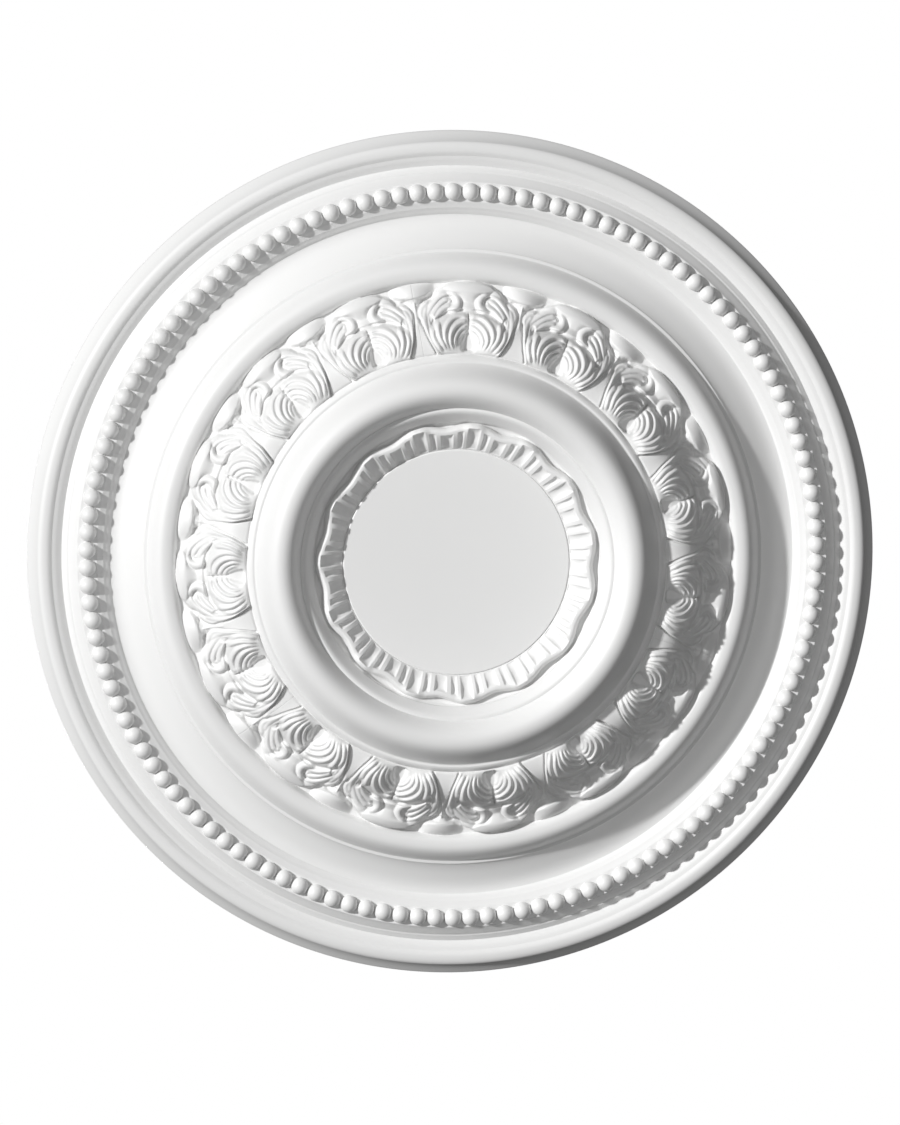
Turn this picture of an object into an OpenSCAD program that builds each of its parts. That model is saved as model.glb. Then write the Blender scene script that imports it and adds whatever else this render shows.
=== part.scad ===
// Ceiling rose with a beaded rim, a leaf band, a great roll and a ring of
// small hooded leaves round a plain centre. Millimetres, as fixed to a ceiling:
// the flat back lies at Z = 0 and the ornament hangs below it.

/* [Overall] */
// Diameter over the outer edge
rose_d = 610; // [500:2:740]
// Drop from the flat back to the crest of the great roll
rose_h = 86; // [80:1:104]

/* [Outer moulding] */
// Width of the sloping outer edge
edge_w = 7.8; // [5:0.1:10]
// Height of the sloping outer edge
edge_h = 12.4; // [11:0.2:13]
// Height of the upright lip at the back of the edge
lip_h = 2; // [1:0.5:4]
// Width of the rim roll inside the edge
rim_w = 16.9; // [13:0.1:19]
// How far the rim roll rises over the edge
rim_rise = 1.4; // [1:0.1:2]
// How far the rim roll falls to the first crease
rim_fall = 3.5; // [2:0.5:5]

/* [Bead row] */
// Width of the slope between the rim roll and the beads
bead_slope_w = 10.9; // [8:0.1:14]
// Height of the flat bed that carries the beads
bead_bed_h = 18.8; // [17:0.2:21]
// Width of the flat bed
bead_bed_w = 14.2; // [13.6:0.2:17]
// Diameter of one bead
bead_d = 12.1; // [9:0.1:13]
// Least gap between two beads
bead_gap = 0.5; // [0.3:0.1:3]
// Width of the fillet inside the bead row
bead_fillet_w = 9.5; // [8:0.1:14]

/* [Cove and torus] */
// Height of the crease at the foot of the cove
cove_foot_h = 13; // [11:0.5:15]
// Width of the cove
cove_w = 26.7; // [22:0.1:32]
// Height of the cove at the foot of the torus
cove_top_h = 27.2; // [25:0.2:29]
// Width of the torus, from the cove to the leaf band
torus_w = 19; // [17:0.1:24]
// Height of the torus crest
torus_h = 39.4; // [37.8:0.2:42]

/* [Leaf band] */
// Number of leaves
leaf_count = 15; // [12:1:18]
// Turn of the first leaf from the top, clockwise seen from below
leaf_turn = 3; // [0:0.5:24]
// Width of the band that carries the leaves
band_w = 50.2; // [44:0.1:60]
// Height of the crease at the band's outer foot
band_foot_h = 36.4; // [35:0.2:37]
// Height of the band at the great roll
band_top_h = 65.2; // [60:0.2:67]
// Relief of the leaves over the band
leaf_rise = 4.5; // [3:0.1:6]

/* [Great roll] */
// Width of the great roll
roll_w = 47.3; // [40:0.1:58]
// Height of the great roll's inner foot
roll_foot_h = 67.4; // [64:0.2:70]

/* [Inner leaf ring] */
// Number of hooded leaves
hood_count = 15; // [12:1:18]
// Turn of the first hooded leaf from the top
hood_turn = 7; // [0:0.5:24]
// Width of the ring
hood_w = 21.6; // [18:0.1:28]
// Height of the ring at the centre disc
hood_foot_h = 56.2; // [54:0.2:58]
// Depth of the flutes
flute_depth = 1.8; // [1:0.1:2.4]

/* [Centre] */
// Height of the plain centre disc
disc_h = 57.4; // [55:0.2:60]

/* [Hidden] */
$fn = 120;
white = "#f2f1ee";
arc_steps = 6;     // points along one stretch of the moulding
sink = 4;          // how far the body lies under the carved rings
bead_sink = 0.4;   // how far a bead's centre lies under its bed
bury = 1.6;        // how far a carved ring's edge runs into the body
lap = 0.5;         // how far a carved ring's outermost rows keep off the body's walls
root_h = 20;       // underside of the carved rings, inside the body

// Radii of the creases, worked inwards from the outer edge
edge_r = rose_d / 2;
rim_r = edge_r - edge_w;
rib_r = rim_r - rim_w;
bed_r = rib_r - bead_slope_w;
bead_r = bed_r - bead_bed_w / 2;
fillet_r = bed_r - bead_bed_w;
cove_r = fillet_r - bead_fillet_w;
torus_r = cove_r - cove_w;
band_r = torus_r - torus_w;
roll_r = band_r - band_w;
hood_r = roll_r - roll_w;
disc_r = hood_r - hood_w;
bead_count = floor(180 / asin((bead_d + bead_gap) / 2 / bead_r));

// One stretch of the moulding, a cubic curve. Each end is [radius, height,
// heading]: heading 0 runs level towards the centre, 90 straight out.
function stretch(a, b, steps = arc_steps) =
    let (reach = 0.36 * norm([a[0] - b[0], a[1] - b[1]]),
         p = [a[0] - reach * cos(a[2]), a[1] + reach * sin(a[2])],
         q = [b[0] + reach * cos(b[2]), b[1] - reach * sin(b[2])])
    [for (i = [1:steps]) let (t = i / steps, s = 1 - t)
        [for (k = [0, 1])
            s * s * s * a[k] + 3 * s * s * t * p[k] + 3 * s * t * t * q[k] + t * t * t * b[k]]];

function lowered(points, drop) = [for (p = points) [p[0], p[1] - drop]];

// The band that the leaves grow on: level at the roll, then a steep shoulder
shoulder = [
    [band_r, band_foot_h, 4],
    [band_r - 0.26 * band_w, band_foot_h + 0.16 * (band_top_h - band_foot_h), 32],
    [band_r - 0.57 * band_w, band_foot_h + 0.71 * (band_top_h - band_foot_h), 50],
    [roll_r, band_top_h, -3]
];
band_line = concat([[band_r, band_foot_h]], stretch(shoulder[0], shoulder[1], 4),
    stretch(shoulder[1], shoulder[2], 4), stretch(shoulder[2], shoulder[3], 4));

// The moulding outside the leaf band
function outer_moulding() =
    let (rim_h = edge_h + rim_rise,
         rib_h = rim_h - rim_fall,
         step_r = rib_r - 0.66 * bead_slope_w,
         step_h = rib_h + 0.62 * (bead_bed_h - rib_h),
         cove_mid = [cove_r - 0.47 * cove_w, cove_foot_h + 0.32 * (cove_top_h - cove_foot_h), 31],
         crest_r = torus_r - 0.6 * torus_w)
    concat(
        [[edge_r, 0], [edge_r, lip_h]],
        stretch([edge_r, lip_h, 86], [rim_r, edge_h, 46]),
        stretch([rim_r - 0.5, edge_h - 0.2, 40], [rim_r - 0.3 * rim_w, rim_h, 0], 4),
        stretch([rim_r - 0.3 * rim_w, rim_h, 0], [rib_r, rib_h, -22], 4),
        stretch([rib_r, rib_h, 38], [step_r + 1, step_h - 0.3, 44], 3),
        stretch([step_r, step_h, 40], [bed_r, bead_bed_h, 50], 3),
        [[fillet_r, bead_bed_h]],
        stretch([fillet_r, bead_bed_h, -20], [fillet_r - 0.48 * bead_fillet_w,
            cove_foot_h + 0.66 * (bead_bed_h - cove_foot_h), -22], 3),
        stretch([fillet_r - 0.56 * bead_fillet_w, cove_foot_h + 0.58 * (bead_bed_h - cove_foot_h), -34],
            [cove_r, cove_foot_h, -34], 3),
        stretch([cove_r, cove_foot_h, 0], cove_mid),
        stretch(cove_mid, [torus_r + 2.5, cove_top_h - 1.4, 46]),
        [[torus_r, cove_top_h]],
        stretch([torus_r, cove_top_h, 60], [crest_r, torus_h, 0], 8),
        stretch([crest_r, torus_h, 0], [band_r, band_foot_h, -30]));

// The great roll and what lies inside it
function great_roll() =
    let (crest_r = roll_r - 0.515 * roll_w,
         outer_seat = [roll_r - 0.125 * roll_w, band_top_h + 3.6],
         inner_seat = [hood_r + 0.15 * roll_w, roll_foot_h + 0.35 * (rose_h - roll_foot_h)])
    concat(
        [[roll_r, band_top_h]],
        stretch([roll_r, band_top_h, 44], [roll_r - 0.08 * roll_w, band_top_h + 3.2, 36], 3),
        [outer_seat],
        stretch([outer_seat[0], outer_seat[1], 48], [crest_r, rose_h, 0], 12),
        stretch([crest_r, rose_h, 0], [inner_seat[0], inner_seat[1], -50], 10),
        stretch([inner_seat[0] - 0.6, inner_seat[1] - 0.4, -36], [hood_r, roll_foot_h, -44], 4));

// Turned body: every round moulding, the bead bed and the plain centre
module turned_body() {
    rotate_extrude()
        polygon(concat(
            [[0, 0]],
            outer_moulding(),
            lowered([for (p = band_line) if (p[0] < band_r) p], sink),
            great_roll(),
            [[hood_r, roll_foot_h - sink], [disc_r, hood_foot_h - sink], [disc_r, disc_h], [0, disc_h]]));
}

module bead_row() {
    for (i = [0:bead_count - 1])
        rotate([0, 0, i * 360 / bead_count])
            translate([0, bead_r, bead_bed_h - bead_sink])
                rotate([0, 90, 0])
                    sphere(d = bead_d + 2 * bead_sink);
}

// A closed ring whose carved face is a grid: rows run from the outer edge in,
// columns run round the ring. Its walls and underside lie inside the body.
module carved_ring(rows, columns, face) {
    inner = rows - 1;
    top = [for (j = [0:inner], i = [0:columns - 1]) face(i, j)];
    rim = [for (j = [0, inner], i = [0:columns - 1]) let (p = face(i, j)) [p[0], p[1], root_h]];
    base = rows * columns;
    function next(i) = (i + 1) % columns;
    polyhedron(points = concat(top, rim), faces = concat(
        [for (j = [0:inner - 1], i = [0:columns - 1])
            [j * columns + i, j * columns + next(i), (j + 1) * columns + i]],
        [for (j = [0:inner - 1], i = [0:columns - 1])
            [j * columns + next(i), (j + 1) * columns + next(i), (j + 1) * columns + i]],
        [for (i = [0:columns - 1]) [i, base + i, base + next(i), next(i)]],
        [for (i = [0:columns - 1]) let (k = inner * columns)
            [k + next(i), base + columns + next(i), base + columns + i, k + i]],
        [for (i = [0:columns - 1])
            [base + i, base + columns + i, base + columns + next(i), base + next(i)]]));
}

function at(radius, height, angle) = [radius * sin(angle), radius * cos(angle), height];
function bump(x, centre, half) = max(0, 1 - pow((x - centre) / half, 2));

// Leaf band. v runs from 0 at the great roll to 1 at the outer foot, and a
// side of one leaf has seven columns from its midline to the dart beside it.
side_columns = 7;
leaf_columns = 2 * side_columns;
function leaf_half(v) = v < 0.66 ? 0.65 + 0.25 * sin(v / 0.66 * 90) : 0.9 - 0.55 * pow((v - 0.66) / 0.34, 1.5);
function keyhole_half(v) = 0.05 + 0.1 * bump(v, 0.12, 0.2);
function leaf_side(c, v) = let (half = leaf_half(v), key = keyhole_half(v))
    c == 0 ? 0 : c == 1 ? key : c == 6 ? half + 0.3 * (1 - half) : c == 7 ? 1 :
    key + (half - key) * [0, 0, 0.32, 0.62, 0.86, 1][c];
function leaf_swell(c, v) =
    let (lower = bump(v, 0.3, 0.34), nose = bump(v, 0.74, 0.16), cap = bump(v, 0.92, 0.1),
         dart = 0.5 * bump(v, 0, 0.55), dart_cap = bump(v, 0.92, 0.12))
    c == 0 ? (v < 0.5 ? -0.1 : 0.1 * nose + cap) :
    c == 1 ? 0.55 * lower + 0.35 * nose + cap :
    c == 2 ? lower + 1.1 * nose + 0.9 * cap :
    c == 3 ? 0.95 * lower + 0.9 * nose + 0.5 * cap :
    c == 4 ? 0.8 * lower + 0.6 * bump(v, 0.64, 0.16) :
    c == 5 ? 0 :
    c == 6 ? dart + 0.6 * dart_cap : dart + 0.25 * bump(v, 0.6, 0.3) + dart_cap;

module leaf_ring() {
    // an outer and an inner edge row are buried in the body
    line = concat([[band_r + bury, band_foot_h - bury]],
        [for (p = band_line) if (p[0] < band_r) [max(p[0], roll_r + lap), p[1]]],
        [[roll_r - bury / 2, band_top_h - bury]]);
    last = len(line) - 1;
    carved_ring(len(line), leaf_count * leaf_columns, function(i, j)
        let (leaf = floor(i / leaf_columns),
             side = i % leaf_columns - side_columns,
             v = 1 - (band_r - line[j][0]) / band_w,
             u = sign(side) * leaf_side(abs(side), min(1, max(0, v))),
             rise = j == 0 || j >= last - 1 ? 0 : leaf_rise * leaf_swell(abs(side), v))
        at(line[j][0], line[j][1] + rise, leaf_turn + (leaf + u / 2) * 360 / leaf_count));
}

// Ring of hooded leaves: a broad flute under each hood, a thin one each side
// and an oval one between two leaves. Its outer lip is scalloped.
unit_columns = 8;
hood_rows = [1, 0.96, 0.87, 0.72, 0.36, 0];
hood_rise = [0, 0.35, 1, 0.82, 0.4, 0];
function flute(c) = [0.5, 0, 0.8, 0, 1, 0, 0.8, 0][c];
function scallop(c) = [0, 0.2, 0.5, 0.8, 1, 0.8, 0.5, 0.2][c];

module hood_ring() {
    last = len(hood_rows) - 1;
    carved_ring(len(hood_rows) + 2, hood_count * unit_columns, function(i, j)
        let (c = i % unit_columns,
             row = min(last, max(0, j - 1)),
             ring = disc_r + hood_w * (hood_rows[row] - 0.14 * scallop(c) * hood_rise[row])
                 + (row == 0 || row == last ? lap : 0),
             swell = hood_rise[row] * (roll_foot_h + 3 - hood_foot_h) - flute_depth * flute(c) * (row == 0 || row == last ? 0 : 1),
             height = row == 0 ? roll_foot_h - bury / 2 : hood_foot_h + max(0.3, swell))
        at(j == 0 ? hood_r + bury : j > last + 1 ? disc_r - bury : ring,
           j == 0 ? roll_foot_h - bury : j > last + 1 ? hood_foot_h - bury : row == last ? hood_foot_h : height,
           hood_turn + i * 360 / (hood_count * unit_columns)));
}

module ceiling_rose() {
    color(white)
        rotate([0, 180, 0])
            union() {
                turned_body();
                bead_row();
                leaf_ring();
                hood_ring();
            }
}

ceiling_rose();
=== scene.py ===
import math

import bmesh
import bpy
import numpy as np
from mathutils import Matrix, Vector


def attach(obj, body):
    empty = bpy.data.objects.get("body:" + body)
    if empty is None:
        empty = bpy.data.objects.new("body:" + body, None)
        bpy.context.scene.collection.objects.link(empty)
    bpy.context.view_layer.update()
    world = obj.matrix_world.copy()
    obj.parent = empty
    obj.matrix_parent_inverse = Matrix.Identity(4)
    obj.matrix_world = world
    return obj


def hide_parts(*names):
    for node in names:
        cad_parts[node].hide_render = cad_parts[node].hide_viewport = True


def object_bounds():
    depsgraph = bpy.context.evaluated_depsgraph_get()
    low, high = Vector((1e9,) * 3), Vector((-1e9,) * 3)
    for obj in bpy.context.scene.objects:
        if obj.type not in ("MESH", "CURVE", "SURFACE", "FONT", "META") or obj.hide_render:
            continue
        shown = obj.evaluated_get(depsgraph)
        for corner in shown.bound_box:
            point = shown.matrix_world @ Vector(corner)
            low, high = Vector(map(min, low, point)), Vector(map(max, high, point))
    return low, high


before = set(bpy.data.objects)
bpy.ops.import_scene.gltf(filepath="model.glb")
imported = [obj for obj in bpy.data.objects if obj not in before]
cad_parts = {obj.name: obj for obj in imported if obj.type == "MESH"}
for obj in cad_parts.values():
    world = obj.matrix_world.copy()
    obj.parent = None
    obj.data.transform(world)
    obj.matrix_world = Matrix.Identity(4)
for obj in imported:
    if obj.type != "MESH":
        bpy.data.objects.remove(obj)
cadLow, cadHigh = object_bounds()
print("frame loaded")

# Lengths are in millimetres on a rose that lies face up: x to the right, y to the top
# of the pattern, height from the flat back. placed() hangs it face down under the ceiling.
metresPerMm = 0.001
roseRadius = (cadHigh.x - cadLow.x) / 2 / metresPerMm
roseDrop = (cadHigh.z - cadLow.z) / metresPerMm


def placed(points):
    return np.asarray(points, float) * np.array([-1, 1, -1]) * metresPerMm


def stretch(start, end, steps, hold=0.36):
    # ends are (radius, height, heading): 0 runs level to the centre, 90 straight out
    # hold is how far each end keeps its heading, as a share of the distance between them
    first = np.array(start[:2], float)
    last = np.array(end[:2], float)
    reach = hold * math.dist(first, last)
    leave = math.radians(start[2])
    arrive = math.radians(end[2])
    p = first + reach * np.array([-math.cos(leave), math.sin(leave)])
    q = last + reach * np.array([math.cos(arrive), -math.sin(arrive)])
    curve = []
    for i in range(1, steps + 1):
        t = i / steps
        s = 1 - t
        curve.append(s ** 3 * first + 3 * s * s * t * p + 3 * s * t * t * q + t ** 3 * last)
    return curve


def eased(line, radius=0.25, leastTurn=14, largestShare=0.3, longSide=3, flatAt=3):
    # rounds each crease that turns by leastTurn degrees or more, over at most largestShare of a side
    # a long side also gets a point at flatAt times the rounding, which holds it flat
    line = [np.array(p, float) for p in line]
    result = [line[0]]
    for before, here, after in zip(line, line[1:], line[2:]):
        back = before - here
        ahead = after - here
        backLength = np.linalg.norm(back)
        aheadLength = np.linalg.norm(ahead)
        turn = math.degrees(math.acos(np.clip(-np.dot(back, ahead) / backLength / aheadLength, -1, 1)))
        if turn < leastTurn:
            result.append(here)
            continue
        cut = min(radius, largestShare * backLength, largestShare * aheadLength)
        a = here + back / backLength * cut
        b = here + ahead / aheadLength * cut
        if backLength > longSide:
            result.append(here + back / backLength * flatAt * cut)
        result += [a, (a + 2 * here + b) / 4, b]
        if aheadLength > longSide:
            result.append(here + ahead / aheadLength * flatAt * cut)
    result.append(line[-1])
    return result


def smoothLine(points, perSpan=6):
    # Catmull-Rom curve through the given points
    p = np.array(points, float)
    p = np.vstack([2 * p[0] - p[1], p, 2 * p[-1] - p[-2]])
    t = (np.arange(perSpan) / perSpan)[:, None]
    curve = []
    for a, b, c, d in zip(p, p[1:], p[2:], p[3:]):
        bend = (2 * a - 5 * b + 4 * c - d) * t ** 2 + (3 * b - a - 3 * c + d) * t ** 3
        curve.append(0.5 * (2 * b + (c - a) * t + bend))
    return np.vstack(curve + [p[-2:-1]])


def strokeDistance(u, v, line):
    # distance to the line and how far along it the nearest point lies, from 0 to 1
    steps = np.linalg.norm(np.diff(line, axis=0), axis=1)
    starts = np.concatenate([[0], np.cumsum(steps)])
    nearest = np.full(u.shape, np.inf)
    along = np.zeros(u.shape)
    for k, length in enumerate(steps):
        du, dv = (line[k + 1] - line[k]) / length
        t = np.clip((u - line[k, 0]) * du + (v - line[k, 1]) * dv, 0, length)
        distance = np.hypot(u - line[k, 0] - t * du, v - line[k, 1] - t * dv)
        closer = distance < nearest
        nearest[closer] = distance[closer]
        along[closer] = starts[k] + t[closer]
    return nearest, along / starts[-1]


def insideDistance(u, v, outline, closing):
    # distance to the outline, positive inside the area that outline and closing shut in
    line = smoothLine(outline, 4)
    nearest, _ = strokeDistance(u, v, line)
    loop = np.vstack([line, closing])
    inside = np.zeros(u.shape, bool)
    for p, q in zip(loop, np.roll(loop, -1, axis=0)):
        if p[1] != q[1]:
            crosses = (p[1] > v) != (q[1] > v)
            inside ^= crosses & (u < (q[0] - p[0]) * (v - p[1]) / (q[1] - p[1]) + p[0])
    return np.where(inside, nearest, -nearest)


def smooth(x, low, high):
    # 0 at low, 1 at high and level at both
    t = np.clip((x - low) / (high - low), 0, 1)
    return t * t * (3 - 2 * t)


def dome(u, v, centre, radii):
    return np.clip(1 - ((u - centre[0]) / radii[0]) ** 2 - ((v - centre[1]) / radii[1]) ** 2, 0, None)


def strokeRise(along, tapers, over=0.02):
    # 1 along a stroke, falling towards 0 over a taper at each end
    return np.minimum(1, np.minimum((along + over) / tapers[0], (1 + over - along) / tapers[1]))


def ridge(u, v, points, width, height, tapers, endWidth=0.6):
    # a raised stroke with a round back, narrower at its ends
    nearest, along = strokeDistance(u, v, smoothLine(points))
    rise = np.sin(strokeRise(along, tapers) * math.pi / 2)
    half = width * (endWidth + (1 - endWidth) * rise)
    return height * rise * np.clip(1 - (nearest / half) ** 2, 0, None)


def groove(u, v, points, width, depth, tapers, floorShare=0.15):
    # a stroke cut in, with a flat floor and soft sides
    nearest, along = strokeDistance(u, v, smoothLine(points))
    return depth * strokeRise(along, tapers) * smooth(nearest, width, floorShare * width)


def gridFaces(first, rows, columns, closed=True):
    # four-sided faces over rows of points, numbered from first; closed joins each row's ends
    faces = []
    for j in range(rows - 1):
        low = first + j * columns
        for i in range(columns if closed else columns - 1):
            k = (i + 1) % columns
            faces.append((low + i, low + k, low + columns + k, low + columns + i))
    return faces


def makePiece(name, points, faces, materials, flatFaces=(), slots=None):
    mesh = bpy.data.meshes.new(name)
    mesh.from_pydata(placed(points).tolist(), [], faces)
    shape = bmesh.new()
    shape.from_mesh(mesh)
    bmesh.ops.recalc_face_normals(shape, faces=shape.faces)
    shape.to_mesh(mesh)
    shape.free()
    smoothFlags = np.ones(len(faces), bool)
    smoothFlags[list(flatFaces)] = False
    mesh.polygons.foreach_set("use_smooth", smoothFlags)
    for material in materials:
        mesh.materials.append(material)
    if slots is not None:
        mesh.polygons.foreach_set("material_index", slots)
    piece = bpy.data.objects.new(name, mesh)
    bpy.context.scene.collection.objects.link(piece)
    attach(piece, "root")
    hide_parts("ceiling_rose")
    print(name, "made,", len(faces), "faces")


def turnedPiece(name, line, columns, materials, backRows):
    # revolves a line that starts and ends on the axis; the first backRows rows are the raw back
    rings = line[1:-1]
    turn = np.arange(columns) * 2 * math.pi / columns
    points = [(0, 0, line[0][1])]
    for radius, height in rings:
        points += list(zip(radius * np.sin(turn), radius * np.cos(turn), [height] * columns))
    points.append((0, 0, line[-1][1]))
    faces = [(0, 1 + (i + 1) % columns, 1 + i) for i in range(columns)]
    faces += gridFaces(1, len(rings), columns)
    low = 1 + (len(rings) - 1) * columns
    top = len(points) - 1
    faces += [(low + i, low + (i + 1) % columns, top) for i in range(columns)]
    slots = np.zeros(len(faces), int)
    slots[:backRows * columns] = 1
    makePiece(name, points, faces, materials, slots=slots)


def carvedPiece(name, radius, height, turn, rootHeight, closed, materials):
    # a grid of carved face over walls and an underside that lie inside the body
    rows, columns = height.shape
    top = np.stack([radius * np.sin(turn), radius * np.cos(turn), height], axis=2)
    rims = top[[0, -1]].copy()
    rims[:, :, 2] = rootHeight
    points = np.vstack([top.reshape(-1, 3), rims.reshape(-1, 3)])
    base = rows * columns
    last = (rows - 1) * columns
    faces = gridFaces(0, rows, columns, closed)
    carved = len(faces)
    for i in range(columns if closed else columns - 1):
        k = (i + 1) % columns
        faces.append((k, i, base + i, base + k))
        faces.append((last + i, last + k, base + columns + k, base + columns + i))
        faces.append((base + i, base + columns + i, base + columns + k, base + k))
    if not closed:
        for i in (0, columns - 1):
            side = [j * columns + i for j in range(rows)]
            faces.append(tuple(side + [base + columns + i, base + i]))
    makePiece(name, points, faces, materials, flatFaces=range(carved, len(faces)))


def grainGroup():
    # fine orange-peel skin, pits and slow mottling, shared by every finish of the casting
    group = bpy.data.node_groups.new("castingGrain", "ShaderNodeTree")
    face = group.interface
    for socketName, value in (("Mottle Size", 9.0), ("Mottle Amount", 0.02), ("Peel Size", 700.0),
                              ("Peel Amount", 0.5), ("Pit Amount", 0.2), ("Roughness Spread", 0.06)):
        socket = face.new_socket(socketName, in_out="INPUT", socket_type="NodeSocketFloat")
        socket.default_value = value
    for socketName in ("Shade", "Roughness Change", "Height"):
        face.new_socket(socketName, in_out="OUTPUT", socket_type="NodeSocketFloat")
    nodes = group.nodes
    link = group.links.new
    given = nodes.new("NodeGroupInput")
    out = nodes.new("NodeGroupOutput")
    place = nodes.new("ShaderNodeTexCoord")

    def noise(scale, detail, rough):
        node = nodes.new("ShaderNodeTexNoise")
        node.inputs["Detail"].default_value = detail
        node.inputs["Roughness"].default_value = rough
        link(place.outputs["Object"], node.inputs["Vector"])
        link(given.outputs[scale], node.inputs["Scale"])
        return node.outputs["Fac"]

    def maths(operation, *values):
        node = nodes.new("ShaderNodeMath")
        node.operation = operation
        for socket, value in zip(node.inputs, values):
            if isinstance(value, (int, float)):
                socket.default_value = value
            else:
                link(value, socket)
        return node.outputs[0]

    mottle = noise("Mottle Size", 4, 0.55)
    peel = noise("Peel Size", 2, 0.5)
    pitsPerPeel = 0.45
    pits = nodes.new("ShaderNodeTexVoronoi")
    pits.feature = "F1"
    link(place.outputs["Object"], pits.inputs["Vector"])
    link(maths("MULTIPLY", given.outputs["Peel Size"], pitsPerPeel), pits.inputs["Scale"])
    pit = nodes.new("ShaderNodeMapRange")
    pit.inputs["From Min"].default_value = 0.0
    pit.inputs["From Max"].default_value = 0.22
    pit.inputs["To Min"].default_value = -1.0
    pit.inputs["To Max"].default_value = 0.0
    link(pits.outputs["Distance"], pit.inputs["Value"])
    centred = maths("SUBTRACT", mottle, 0.5)
    link(maths("MULTIPLY_ADD", centred, given.outputs["Mottle Amount"], 1.0), out.inputs["Shade"])
    link(maths("MULTIPLY", centred, given.outputs["Roughness Spread"]), out.inputs["Roughness Change"])
    skin = maths("MULTIPLY", peel, given.outputs["Peel Amount"])
    link(maths("MULTIPLY_ADD", pit.outputs[0], given.outputs["Pit Amount"], skin), out.inputs["Height"])
    return group


# in both finishes the hollow shade value is painted shade: the share of the colour left at the deepest
# hollows
whiteFinish = {"colour": (0.83, 0.83, 0.825), "roughness": 0.5, "mottle": 0.03, "peelSize": 700, "peel": 0.4,
               "pit": 0.05, "paintedHollowShade": 0.93, "bump": 0.12}
backFinish = {"colour": (0.77, 0.76, 0.73), "roughness": 0.72, "mottle": 0.3, "peelSize": 170, "peel": 1.2,
              "pit": 1.6, "paintedHollowShade": 0.95, "bump": 1.0}
skinDepth = 0.0004  # metres


def castingMaterial(name, finish, group):
    material = bpy.data.materials.new(name)
    material.use_nodes = True
    nodes = material.node_tree.nodes
    link = material.node_tree.links.new
    shader = nodes["Principled BSDF"]
    grain = nodes.new("ShaderNodeGroup")
    grain.node_tree = group
    grain.inputs["Mottle Amount"].default_value = finish["mottle"]
    grain.inputs["Peel Size"].default_value = finish["peelSize"]
    grain.inputs["Peel Amount"].default_value = finish["peel"]
    grain.inputs["Pit Amount"].default_value = finish["pit"]
    # pointiness is 0.5 on a flat face and less in a hollow; painted shade: the colour is darkened a little in
    # hollows, where shade falls
    geometry = nodes.new("ShaderNodeNewGeometry")
    hollow = nodes.new("ShaderNodeMapRange")
    hollow.inputs["From Min"].default_value = 0.42
    hollow.inputs["From Max"].default_value = 0.5
    hollow.inputs["To Min"].default_value = finish["paintedHollowShade"]
    hollow.inputs["To Max"].default_value = 1.0
    link(geometry.outputs["Pointiness"], hollow.inputs["Value"])
    shade = nodes.new("ShaderNodeMath")
    shade.operation = "MULTIPLY"
    link(grain.outputs["Shade"], shade.inputs[0])
    link(hollow.outputs[0], shade.inputs[1])
    colour = nodes.new("ShaderNodeVectorMath")
    colour.operation = "SCALE"
    colour.inputs[0].default_value = finish["colour"]
    link(shade.outputs[0], colour.inputs["Scale"])
    link(colour.outputs[0], shader.inputs["Base Color"])
    rough = nodes.new("ShaderNodeMath")
    rough.operation = "ADD"
    rough.inputs[1].default_value = finish["roughness"]
    link(grain.outputs["Roughness Change"], rough.inputs[0])
    link(rough.outputs[0], shader.inputs["Roughness"])
    bump = nodes.new("ShaderNodeBump")
    bump.inputs["Strength"].default_value = finish["bump"]
    bump.inputs["Distance"].default_value = skinDepth
    link(grain.outputs["Height"], bump.inputs["Height"])
    link(bump.outputs["Normal"], shader.inputs["Normal"])
    return material


castingGrain = grainGroup()
primedWhite = castingMaterial("primedWhite", whiteFinish, castingGrain)
rawBack = castingMaterial("rawBack", backFinish, castingGrain)
print("materials made")

# The round mouldings, from the outer edge to the centre disc. A value that ends in At is a
# share of its moulding's width: where along it a crest, a step or a seat lies.
mould = {
    "columns": 360,
    "edgeWidth": 7.8, "edgeHeight": 12.4, "lipHeight": 2.0,
    "rimWidth": 16.9, "rimRise": 1.4, "rimFall": 4.5, "rimCrestAt": 0.34, "rimStepAt": 0.42,
    "beadSlopeWidth": 10.9, "beadBedHeight": 18.8, "beadBedWidth": 14.2, "filletWidth": 9.5,
    "coveFootHeight": 13.0, "coveWidth": 26.7, "coveTopHeight": 27.2, "coveMiddleAt": 0.47,
    "torusWidth": 19.0, "torusHeight": 39.4, "torusCrestAt": 0.62,
    "bandWidth": 50.2, "bandFootHeight": 36.4, "bandTopHeight": 65.2,
    "rollWidth": 47.3, "rollFootHeight": 67.4, "rollCrestAt": 0.515, "outerSeatAt": 0.125, "innerSeatAt": 0.2,
    "hoodWidth": 21.6, "hoodFootHeight": 56.2, "discHeight": 57.4, "discEdge": 0.8, "discEase": 0.25,
    "sink": 7.0, "bury": 1.6, "rootHeight": 22.0,
}
rimRadius = roseRadius - mould["edgeWidth"]
ribRadius = rimRadius - mould["rimWidth"]
bedRadius = ribRadius - mould["beadSlopeWidth"]
filletRadius = bedRadius - mould["beadBedWidth"]
coveRadius = filletRadius - mould["filletWidth"]
torusRadius = coveRadius - mould["coveWidth"]
bandRadius = torusRadius - mould["torusWidth"]
rollRadius = bandRadius - mould["bandWidth"]
hoodRadius = rollRadius - mould["rollWidth"]
discRadius = hoodRadius - mould["hoodWidth"]


def bandLine(steps):
    # the cushion that the leaves grow on: level at the roll, then a steep shoulder
    width = mould["bandWidth"]
    foot = mould["bandFootHeight"]
    rise = mould["bandTopHeight"] - foot
    ends = [
        (bandRadius, foot, 4),
        (bandRadius - 0.26 * width, foot + 0.16 * rise, 32),
        (bandRadius - 0.57 * width, foot + 0.71 * rise, 50),
        (rollRadius, mould["bandTopHeight"], -3),
    ]
    line = [np.array(ends[0][:2])]
    for start, end in zip(ends, ends[1:]):
        line += stretch(start, end, steps)
    return line


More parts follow.
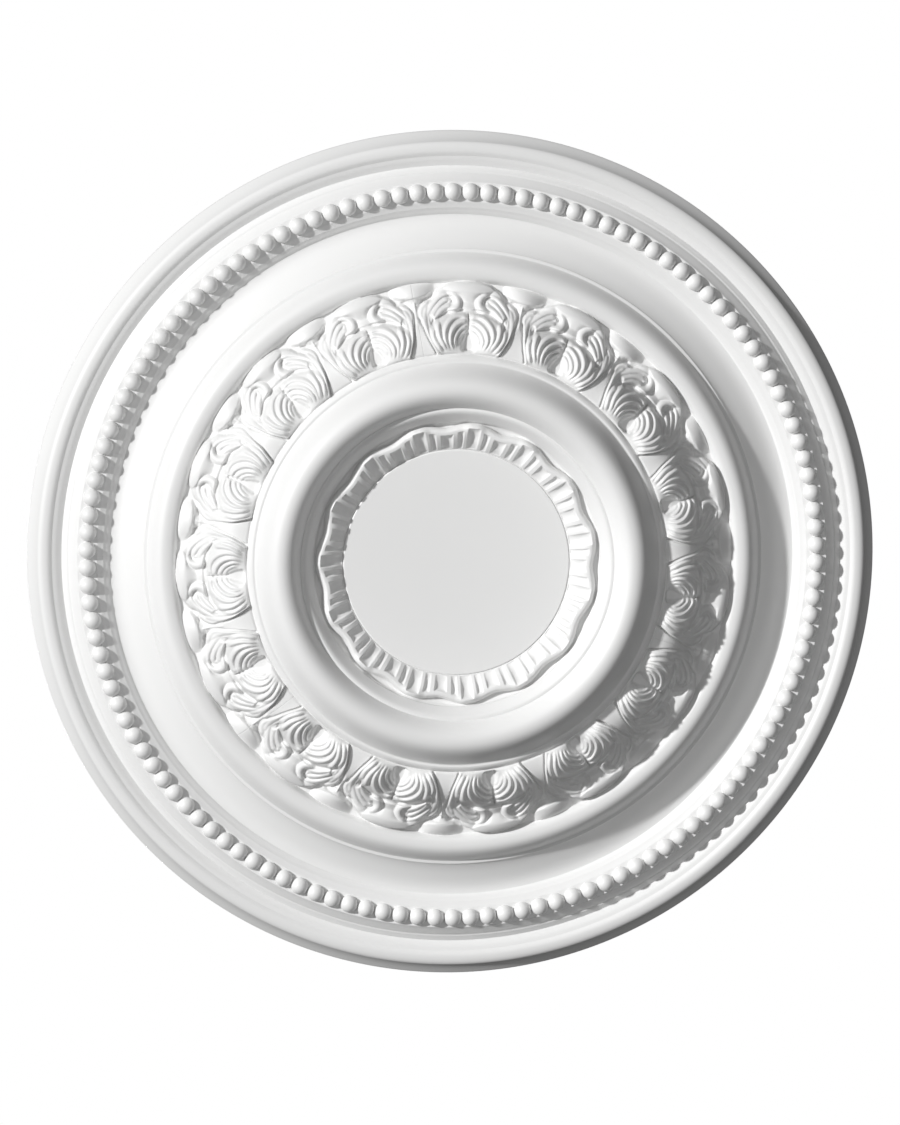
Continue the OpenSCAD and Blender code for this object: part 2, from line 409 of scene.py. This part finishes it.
def outerMoulding():
    # edge, rim, slope, bead bed, fillet, cove and torus, as stretches that mostly meet in creases
    rimHeight = mould["edgeHeight"] + mould["rimRise"]
    ribHeight = rimHeight - mould["rimFall"]
    slope = mould["beadSlopeWidth"]
    bed = mould["beadBedHeight"]
    fillet = mould["filletWidth"]
    cove = mould["coveFootHeight"]
    coveTop = mould["coveTopHeight"]
    rimCrest = (rimRadius - mould["rimCrestAt"] * mould["rimWidth"], rimHeight, 0)
    rimStep = (ribRadius + mould["rimStepAt"] * mould["rimWidth"], rimHeight - 0.37 * mould["rimFall"])
    firstStep = (ribRadius - 0.32 * slope, ribHeight + 0.3 * (bed - ribHeight))
    secondStep = (ribRadius - 0.66 * slope, ribHeight + 0.6 * (bed - ribHeight))
    coveMiddle = (coveRadius - mould["coveMiddleAt"] * mould["coveWidth"], cove + 0.32 * (coveTop - cove), 31)
    torusCrest = (torusRadius - mould["torusCrestAt"] * mould["torusWidth"], mould["torusHeight"], 0)
    line = [(roseRadius, 0), (roseRadius, mould["lipHeight"])]
    line += stretch((roseRadius, mould["lipHeight"], 46), (rimRadius + 0.3, mould["edgeHeight"] - 0.6, 64), 8)
    line += stretch((rimRadius, mould["edgeHeight"] - 0.25, 38), rimCrest, 10)
    line += stretch(rimCrest, rimStep + (-34,), 6)
    line += stretch(rimStep + (-8,), (ribRadius + 0.22 * mould["rimWidth"], rimStep[1] - 0.8, -18), 3)
    line += stretch((ribRadius + 0.21 * mould["rimWidth"], rimStep[1] - 0.9, -34),
                    (ribRadius, ribHeight, -34), 4)
    line += stretch((ribRadius, ribHeight, 50), firstStep + (44,), 4)
    line += stretch((firstStep[0] - 0.5, firstStep[1] - 0.2, 26),
                    (secondStep[0] + 0.7, secondStep[1] - 0.5, 38), 4)
    line += stretch((secondStep[0], secondStep[1] + 0.4, 30), (bedRadius, bed, 50), 4)
    line += [(filletRadius, bed)]
    line += stretch((filletRadius, bed, -24),
                    (filletRadius - 0.48 * fillet, cove + 0.66 * (bed - cove), -16), 4)
    line += stretch((filletRadius - 0.54 * fillet, cove + 0.52 * (bed - cove), -26),
                    (coveRadius, cove, -50), 6)
    line += stretch((coveRadius, cove, 0), coveMiddle, 10)
    line += stretch(coveMiddle, (torusRadius + 3.2, coveTop - 1.9, 46), 10)
    line += [(torusRadius + 2.9, coveTop - 0.9), (torusRadius + 0.7, coveTop - 0.7)]
    line += stretch((torusRadius, coveTop, 66), torusCrest, 12)
    line += stretch(torusCrest, (bandRadius + 0.4, mould["bandFootHeight"] + 0.5, -56), 12)
    line += [(bandRadius, mould["bandFootHeight"])]
    return line


def greatRoll():
    # a small fillet beside the band, the roll between its two seats, and a step down to the hooded leaves
    width = mould["rollWidth"]
    bandTop = mould["bandTopHeight"]
    foot = mould["rollFootHeight"]
    crest = (rollRadius - mould["rollCrestAt"] * width, roseDrop, 0)
    outerSeat = (rollRadius - mould["outerSeatAt"] * width, bandTop + 3.6, 50)
    innerSeat = (hoodRadius + mould["innerSeatAt"] * width, foot + 0.36 * (roseDrop - foot), -60)
    innerStep = (innerSeat[0] - 4.2, innerSeat[1] - 0.9, -44)
    line = [(rollRadius, bandTop)]
    line += stretch((rollRadius, bandTop, 58), (rollRadius - 0.085 * width, bandTop + 3.5, 12), 6)
    line += [(rollRadius - 0.11 * width, bandTop + 3.3), outerSeat[:2]]
    line += stretch(outerSeat, crest, 20)
    line += stretch(crest, innerSeat, 20)
    line += stretch((innerSeat[0] - 0.5, innerSeat[1] + 0.15, 26), innerStep, 8)
    line += stretch(innerStep, (hoodRadius, foot, -46), 6)
    return line


def wholeMoulding():
    # under the two carved rings the body is sunk, so that it never shows through them
    sink = mould["sink"]
    disc = mould["discHeight"]
    edge = mould["discEdge"]
    ease = mould["discEase"]
    backLine = [(0, 0), (0.55 * roseRadius, 0), (roseRadius - 4, 0)]
    sunkBand = [(p[0], p[1] - sink) for p in bandLine(4) if p[0] < bandRadius - 0.1]
    line = backLine + outerMoulding() + sunkBand + greatRoll()
    line += [(hoodRadius, mould["rollFootHeight"] - sink), (discRadius, mould["hoodFootHeight"] - sink)]
    line += [(discRadius, disc - edge), (discRadius - ease, disc - ease), (discRadius - edge, disc)]
    line += [(0.5 * discRadius, disc), (0, disc)]
    turnedPiece("mouldings", eased(line), mould["columns"], [primedWhite, rawBack], backRows=len(backLine))


wholeMoulding()

# each bead is a ball, cut off flat inside its bed at the angle lowest
beads = {
    "diameter": 12.1, "gap": 0.5, "proud": 0.8, "swell": 0.2, "lowest": -24, "meridians": 24, "rings": 11,
}


def beadRow():
    centreRadius = bedRadius - mould["beadBedWidth"] / 2
    count = math.floor(math.pi / math.asin((beads["diameter"] + beads["gap"]) / 2 / centreRadius))
    radius = beads["diameter"] / 2 + beads["swell"]
    centreHeight = mould["beadBedHeight"] + beads["proud"]
    lowest = math.radians(beads["lowest"])
    meridians = beads["meridians"]
    rings = beads["rings"]
    points = []
    faces = []
    for n in range(count):
        turn = n * 2 * math.pi / count
        base = len(points)
        for j in range(rings):
            lift = math.pi / 2 + (lowest - math.pi / 2) * (j + 1) / rings
            for i in range(meridians):
                around = i * 2 * math.pi / meridians
                across = radius * math.cos(lift) * math.cos(around)
                out = centreRadius + radius * math.cos(lift) * math.sin(around)
                points.append((out * math.sin(turn) + across * math.cos(turn),
                               out * math.cos(turn) - across * math.sin(turn),
                               centreHeight + radius * math.sin(lift)))
        top = len(points)
        points.append((centreRadius * math.sin(turn), centreRadius * math.cos(turn), centreHeight + radius))
        faces += [(top, base + i, base + (i + 1) % meridians) for i in range(meridians)]
        faces += gridFaces(base, rings, meridians)
        low = base + (rings - 1) * meridians
        faces.append(tuple(low + i for i in range(meridians)))
    makePiece("beadRow", points, faces, [primedWhite])


beadRow()

# drawnAt and drawnWidth are the ring radius and band width that the leaf is drawn for; the rest
# of the lengths are heights over the cushion and depths cut into it
leaves = {
    "count": 15, "turn": 3.0, "columnsPerLeaf": 144, "rows": 104, "pieces": 3,
    "drawnAt": 176.0, "drawnWidth": 49.9,
    "ground": -1.8, "groundFall": 1.2, "dartRise": 2.4, "dartRib": 1.6, "dartCapSeat": 1.4, "dartCap": 7.6,
    "lobeRise": 3.0, "lobeFall": 2.0, "slitSink": 3.2, "eyeRise": 2.2, "leafCap": 6.6,
    "hookDepth": 2.4, "waistDepth": 3.1, "eyeDepth": 1.8, "pitFloor": -4.9, "pitRise": 1.6,
}
halfPitch = math.pi * leaves["drawnAt"] / leaves["count"]

# One half of a leaf, from its midline at 0 to the dart at halfPitch. The first number runs
# round the ring in mm, the second outwards from the great roll.
leafOutline = [(24.5, -1), (28.2, 6.3), (31, 12.5), (32.6, 19.2), (33.8, 24.9), (34.6, 28.8), (33.8, 32.2),
               (31, 35.6), (28, 36.8), (25.2, 36.7), (24, 38), (22, 41.8), (20, 43.5), (17, 45.4), (14, 47.4),
               (8, 49), (0, 49.8), (-6, 49.8)]
dartOutline = [(26.3, -1), (28.6, 4.6), (30.5, 8.4), (33, 15), (34.2, 20), (36.4, 27)]
hook = [(13.2, 33.6), (11.4, 34.8), (11.2, 37), (12.8, 38.8), (15.6, 38.9)]
waist = [(-2, 29.3), (5, 29), (11, 28.6), (16, 27.3), (20.6, 25.3), (25, 22.4), (28, 18.4), (29.4, 13.6)]
keyholeLine = [(1, 4.6), (3, 7), (6, 6.6), (9, 5.2), (12, 3.4), (15, 2), (18, 1.4), (23, 1.1), (28, 0.3)]

# raised strokes: the line, its half width, its height and the tapers at its two ends
innerFlutes = [
    ([(1.2, 25.4), (5, 26.4), (9.8, 25.6), (14, 23), (17.2, 19.2), (18.7, 14.4), (18, 9), (15.8, 3.6)],
     2.0, 2.5, (0.1, 0.3)),
    ([(1.5, 22.6), (5, 22.3), (9.2, 20), (12.4, 16.8), (14.2, 12.8), (14.3, 8.6), (12.6, 4.2)],
     1.8, 2.3, (0.1, 0.3)),
    ([(1.8, 19), (4.8, 17.8), (8, 15.2), (10.1, 12), (10.9, 8.6), (10.3, 5.2)], 1.6, 1.8, (0.1, 0.3)),
    ([(2.2, 15.6), (4.6, 14.2), (6.6, 12), (7.9, 9.2), (8, 6.6)], 1.4, 1.2, (0.1, 0.3)),
]
outerFlutes = [
    ([(22.8, 23.4), (23.2, 18.5), (22.7, 13.4), (20.8, 8.6), (17.6, 3.6)], 2.3, 2.7, (0.15, 0.3)),
    ([(27.4, 20.2), (28, 16), (27, 11.2), (24.5, 6.6), (21.2, 2.2)], 2.3, 2.5, (0.15, 0.3)),
]
upperFlutes = [
    ([(12, 40.4), (16.2, 40.6), (21, 37.8), (25.6, 33.2), (29.2, 28.6), (31.4, 24.6)], 2.3, 2.7, (0.2, 0.45)),
    ([(11.8, 37), (15.6, 36.8), (19.8, 34), (23.6, 30), (26.6, 26), (28.2, 22.6)], 2.3, 2.7, (0.2, 0.45)),
    ([(11, 33.4), (14.4, 32.8), (18.4, 30.8), (22, 28), (24.8, 24.8)], 2.3, 2.7, (0.2, 0.45)),
]
edgeRidge = ([(22.5, -0.5), (25.4, 2), (28, 5.6), (30, 10), (31.4, 15), (32.1, 20), (32, 25), (30.6, 29.6),
              (28.4, 33.4)], 2.4, 2.4, (0.3, 0.1))
sideLobe = ([(33.4, 24.6), (33.4, 28.6), (32, 32.4), (29.6, 35.2), (26.8, 36)], 2.6, 2.0, (0.12, 0.2))
shoulder = ([(5, 47.4), (10.5, 46.3), (15.6, 44.2), (19.6, 41.4), (23, 38.2)], 4.6, 2.6, (0.3, 0.4))
nose = ([(0, 28), (0, 33), (0, 38), (0, 43)], 5.6, 1.5, (0.3, 0.1))
scroll = ([(16, 42.6), (12.2, 42), (9.2, 40), (7.6, 37.2), (7.4, 34.4), (8.8, 31.8), (11.6, 30), (15, 29.2)],
          3.7, 4.2, (0.3, 0.3))
raisedStrokes = innerFlutes + outerFlutes + upperFlutes + [edgeRidge, sideLobe, shoulder, nose, scroll]


def cap(a, b, centre, lowest, crest, halfWidth, height, power):
    # a leaf tip that curls over: it swells up softly at its midline and has a sharp V front beside it
    aside = np.abs(a - centre) / halfWidth
    front = lowest + (crest - lowest) * np.clip(aside / 0.85, 0, 1) ** 1.4
    swell = 1 - smooth(aside, 0.08, 0.42)
    rise = smooth(b, front - 1.2 - 6 * swell, np.maximum(crest, front + 2.2) + swell)
    past = np.clip((b - crest - 0.6) / (leaves["drawnWidth"] - crest - 0.6), 0, 1)
    fall = np.sqrt(np.clip(1 - past ** 2, 0, 1))
    return height * rise * fall * np.clip(1 - aside ** 2, 0, 1) ** power


def leafRelief(a, b):
    # height over the cushion, for one half leaf
    inside = insideDistance(a, b, leafOutline, [(-6, -9), (24.5, -9)])
    dartInside = insideDistance(a, b, dartOutline, [(60, 27), (60, -9), (26.3, -9)])
    outer = smooth(b, 25, 32)
    # ground, with the flat dart between two leaves, its midrib and its curled cap
    ground = leaves["ground"] - leaves["groundFall"] * outer
    ground = ground + leaves["dartRise"] * smooth(dartInside, -0.4, 0.5) * (1 - 0.6 * outer)
    midrib = smooth(halfPitch - a, 1.0, 0.1) * smooth(b, 20, 27)
    ground = ground + leaves["dartRib"] * midrib * (1 - smooth(b, 35, 38))
    ground = ground - leaves["dartCapSeat"] * smooth(dome(a, b, (halfPitch, 37.2), (10, 3)), 0, 0.6)
    ground = ground + cap(a, b, halfPitch, 36.4, 41.6, 14.6, leaves["dartCap"], 1.1)
    # leaf: two lower lobes that sink to the slit, and upper lobes under the cap
    lift = np.clip(1 - ((b - 13.5) / 17) ** 2, 0, None)
    low = 0.2 + leaves["lobeRise"] * lift * smooth(a, 2, 18) - leaves["lobeFall"] * smooth(a, 23, 33)
    low = low - leaves["slitSink"] * (1 - smooth(a, 1, 15)) * smooth(b, 1, 9) * (1 - smooth(b, 17, 25))
    high = 0.6 - leaves["lobeFall"] * smooth(a, 20, 34)
    leaf = low * (1 - outer) + high * outer
    fine = [ridge(a, b, *stroke) for stroke in raisedStrokes]
    fine += [leaves["eyeRise"] * dome(a, b, (10.5, 36), (5, 6))]
    fine += [cap(a, b, 0, 38.4, 43, 21, leaves["leafCap"], 0.9)]
    leaf = leaf + np.maximum.reduce(fine)
    # what is cut in: the hook beside the nose, the waist, the eye and the slit with its keyhole
    leaf = leaf - groove(a, b, hook, 1.6, leaves["hookDepth"], (0.4, 0.4))
    leaf = leaf - groove(a, b, waist, 2.3, leaves["waistDepth"], (0.02, 0.4)) * (0.5 + 0.5 * smooth(a, 2, 8))
    leaf = leaf - leaves["eyeDepth"] * smooth(dome(a, b, (26.6, 24), (2.2, 4)), 0, 0.8)
    spread = np.interp(b, [p[0] for p in keyholeLine], [p[1] for p in keyholeLine])
    spread = spread + 0.35 * np.cos(b * 1.9) * smooth(b, 10, 14) * (1 - smooth(b, 24, 27))
    pit = smooth(spread - a, 0, 0.4 + 0.45 * spread) * smooth(b, 1, 2.4) * (1 - smooth(b, 26.5, 28.4))
    floor = leaves["pitFloor"] + leaves["pitRise"] * smooth(b, 12, 26)
    leaf = leaf + (np.minimum(leaf, floor) - leaf) * pit
    relief = ground + (leaf - ground) * smooth(inside, -0.55, 0.75)
    return relief * smooth(b, 0, 1.6) * (1 - smooth(b, 49.4, 50.0))


def leafBand():
    width = mould["bandWidth"]
    bury = mould["bury"]
    columns = leaves["columnsPerLeaf"]
    outward = np.linspace(0, width, leaves["rows"])
    step = 2 * halfPitch / columns
    side = (np.arange(columns) - columns / 2) * step
    a, b = np.meshgrid(np.abs(side), outward * leaves["drawnWidth"] / width)
    cushion = np.array(sorted(tuple(p) for p in bandLine(16)))
    radius = rollRadius + outward
    height = np.interp(radius, cushion[:, 0], cushion[:, 1])[:, None] + leafRelief(a, b)
    # one more row on each side runs into the body
    radius = np.concatenate([[rollRadius - bury], radius, [bandRadius + bury]])
    height = np.vstack([height[:1] - bury, height, height[-1:] - bury])
    perPiece = leaves["count"] // leaves["pieces"]
    for n in range(leaves["pieces"]):
        wide = np.concatenate([np.tile(height, perPiece), height[:, :1]], axis=1)
        first = leaves["turn"] + (n * perPiece - 0.5) * 360 / leaves["count"]
        turn = np.radians(first + np.arange(wide.shape[1]) * 360 / leaves["count"] / columns)
        carvedPiece(f"leafBand_{n + 1}", radius[:, None] * np.ones(wide.shape), wide,
                    turn[None, :] * np.ones(wide.shape), mould["rootHeight"], False, [primedWhite])


leafBand()

# Each flute is its centre and half width as shares of one hooded leaf's width, how far up it
# runs, and its share of fluteDepth. A flute off the middle lies on both sides of it.
hoods = {
    "count": 15, "turn": 7.5, "columnsPerHood": 84, "rows": 62, "tip": 0.89, "scallop": 0.15,
    "lipHeight": 11.1, "lipFall": 3.0, "crestAt": 0.82, "tipRise": 2.3, "fluteDepth": 3.4,
    "flutes": ((0.0, 0.108, 0.86, 1.0), (0.235, 0.056, 0.74, 0.8), (0.5, 0.115, 0.7, 0.95)),
}


def hoodRelief(u, s):
    # u runs once round a unit from -0.5 to 0.5 with the hood at 0; s runs 0 at the disc to 1 at the lip
    u = np.abs(u)
    crestAt = hoods["crestAt"]
    rise = hoods["lipHeight"] * np.sin(np.clip(s / crestAt, 0, 1) * math.pi / 2) ** 0.95
    fall = hoods["lipFall"] * np.clip((s - crestAt) / (1 - crestAt), 0, None) ** 2
    tip = hoods["tipRise"] * smooth(u, 0.24, 0.03) * smooth(s, 0.5, 0.9)

    def flute(centre, half, top):
        # a hollow with round ends that runs from the disc's foot up to s = top
        across = np.clip(1 - ((u - centre) / half) ** 2, 0, None)
        above = 1 - np.clip((s - top + 0.2) / 0.2, 0, 1) ** 2
        below = 1 - np.clip((0.2 - s) / 0.15, 0, 1) ** 2
        return np.sqrt(np.clip(across * above * below, 0, 1))

    hollows = sum(share * flute(centre, half, top) for centre, half, top, share in hoods["flutes"])
    return rise + tip - fall - hoods["fluteDepth"] * hollows * (0.5 + 0.5 * smooth(s, 0.1, 0.5))


def hoodRing():
    columns = hoods["columnsPerHood"]
    total = columns * hoods["count"]
    bury = mould["bury"]
    rollFoot = mould["rollFootHeight"]
    u = (np.arange(total) % columns) / columns - 0.5
    s = np.linspace(0, 1, hoods["rows"])
    uu, ss = np.meshgrid(u, s)
    # the lip is scalloped: it reaches furthest at the hood and least between two
    reach = hoods["tip"] - hoods["scallop"] * smooth(np.abs(uu), 0.1, 0.5)
    radius = discRadius + mould["hoodWidth"] * reach * ss
    height = mould["hoodFootHeight"] + hoodRelief(uu, ss)
    lipRadius = radius[-1:]
    lipHeight = height[-1:]

    def level(rowRadius, rowHeight):
        return (np.full_like(lipRadius, rowRadius), np.full_like(lipHeight, rowHeight))

    # behind the lip the ring falls into a dark gap before the roll, and both its edges run into the body
    foot = [level(discRadius - bury, mould["hoodFootHeight"] - bury)]
    behind = [(lipRadius + 0.3, lipHeight - 1.0), (lipRadius + 0.4, lipHeight - 3.5)]
    gap = [level(hoodRadius - 0.6, rollFoot - 4.8)]
    root = [level(hoodRadius + 0.4, rollFoot - 0.8), level(hoodRadius + bury, rollFoot - bury)]
    parts = foot + [(radius, height)] + behind + gap + root
    radius = np.vstack([p[0] for p in parts])
    height = np.vstack([p[1] for p in parts])
    turn = np.radians(hoods["turn"] + (np.arange(total) - columns / 2) * 360 / total)
    carvedPiece("hoodRing", radius, height, turn[None, :] * np.ones(height.shape), mould["rootHeight"], True,
                [primedWhite])


hoodRing()

# Angles are in degrees. Lengths are in metres, but aim and sensorWidth in millimetres. sunTowards
# and tiltTowards run clockwise from the top of the pattern as seen from below.
studio = {
    "cameraDistance": 6.0, "tilt": 7.5, "tiltTowards": -30.0, "frameWidth": 0.648, "aim": (-0.7, -6.6),
    "frameShape": 1125 / 900, "sensorWidth": 36, "farthest": 100,
    "sunTowards": -66.0, "sunElevation": 36.5, "sunStrength": 3.2, "sunAngle": 2.5,
    "topSun": 2.6, "topSunTowards": (0.12, -0.16, 1), "topSunAngle": 12,
    "skyLight": 0.015, "domeLight": 0.42, "domeFocus": 2.0, "backdrop": 1.0,
    "floorDrop": 7.0, "floorReach": 30, "floorShade": (0.9, 0.9, 0.9, 1), "floorRoughness": 0.8,
}


def worldDirection(clockwiseFromTop, elevation):
    # a direction on the rose as seen from below, elevation 90 being straight out of its face
    turn = math.radians(clockwiseFromTop)
    lift = math.radians(elevation)
    return Vector((-math.cos(lift) * math.sin(turn), math.cos(lift) * math.cos(turn), -math.sin(lift)))


def addSun(name, towards, strength, angle):
    lamp = bpy.data.lights.new(name, "SUN")
    lamp.energy = strength
    lamp.angle = math.radians(angle)
    sun = bpy.data.objects.new(name, lamp)
    sun.rotation_euler = towards.to_track_quat("Z", "Y").to_euler()
    bpy.context.scene.collection.objects.link(sun)


def addCamera():
    lens = bpy.data.cameras.new("camera")
    frameHeight = studio["frameWidth"] * studio["frameShape"]
    lens.sensor_width = studio["sensorWidth"]
    lens.lens = studio["sensorWidth"] * studio["cameraDistance"] / frameHeight
    lens.clip_end = studio["farthest"]
    aim = Vector((-studio["aim"][0] * metresPerMm, studio["aim"][1] * metresPerMm, 0))
    view = worldDirection(studio["tiltTowards"], 90 - studio["tilt"]).normalized()
    right = Vector((0, 1, 0)).cross(view).normalized()
    up = view.cross(right)
    camera = bpy.data.objects.new("camera", lens)
    camera.matrix_world = Matrix((
        (right.x, up.x, view.x, aim.x + view.x * studio["cameraDistance"]),
        (right.y, up.y, view.y, aim.y + view.y * studio["cameraDistance"]),
        (right.z, up.z, view.z, aim.z + view.z * studio["cameraDistance"]),
        (0, 0, 0, 1),
    ))
    bpy.context.scene.collection.objects.link(camera)
    bpy.context.scene.camera = camera


def addWorld():
    # the camera sees a white backdrop; the rose is lit by a soft dome that is brightest straight below
    world = bpy.data.worlds.new("studio")
    bpy.context.scene.world = world
    world.use_nodes = True
    nodes = world.node_tree.nodes
    link = world.node_tree.links.new
    nodes.clear()
    out = nodes.new("ShaderNodeOutputWorld")
    place = nodes.new("ShaderNodeTexCoord")
    parts = nodes.new("ShaderNodeSeparateXYZ")
    link(place.outputs["Generated"], parts.inputs[0])

    def maths(operation, first, second, clamp=False):
        node = nodes.new("ShaderNodeMath")
        node.operation = operation
        node.use_clamp = clamp
        link(first, node.inputs[0])
        node.inputs[1].default_value = second
        return node.outputs[0]

    below = maths("MULTIPLY", parts.outputs["Z"], -1.0, True)
    focused = maths("POWER", below, studio["domeFocus"])
    strength = maths("ADD", maths("MULTIPLY", focused, studio["domeLight"]), studio["skyLight"])
    soft = nodes.new("ShaderNodeBackground")
    link(strength, soft.inputs["Strength"])
    backdrop = nodes.new("ShaderNodeBackground")
    backdrop.inputs["Strength"].default_value = studio["backdrop"]
    for node in (soft, backdrop):
        node.inputs["Color"].default_value = (1, 1, 1, 1)
    path = nodes.new("ShaderNodeLightPath")
    mix = nodes.new("ShaderNodeMixShader")
    link(path.outputs["Is Camera Ray"], mix.inputs["Fac"])
    link(soft.outputs[0], mix.inputs[1])
    link(backdrop.outputs[0], mix.inputs[2])
    link(mix.outputs[0], out.inputs["Surface"])


def addFloor():
    # a pale floor that casts no shadow and throws no diffuse light back on the rose
    reach = studio["floorReach"]
    z = -studio["floorDrop"]
    corners = [(-reach, -reach, z), (reach, -reach, z), (reach, reach, z), (-reach, reach, z)]
    mesh = bpy.data.meshes.new("floor")
    mesh.from_pydata(corners, [], [(0, 1, 2, 3)])
    floor = bpy.data.objects.new("floor", mesh)
    bpy.context.scene.collection.objects.link(floor)
    pale = bpy.data.materials.new("paleFloor")
    pale.use_nodes = True
    shader = pale.node_tree.nodes["Principled BSDF"]
    shader.inputs["Base Color"].default_value = studio["floorShade"]
    shader.inputs["Roughness"].default_value = studio["floorRoughness"]
    mesh.materials.append(pale)
    floor.visible_shadow = False
    floor.visible_diffuse = False


addCamera()
addWorld()
addFloor()
addSun("keyLight", worldDirection(studio["sunTowards"], studio["sunElevation"]), studio["sunStrength"],
       studio["sunAngle"])
addSun("topLight", Vector(studio["topSunTowards"]).normalized(), studio["topSun"], studio["topSunAngle"])
bpy.context.scene.view_settings.view_transform = "Standard"
print("studio set")
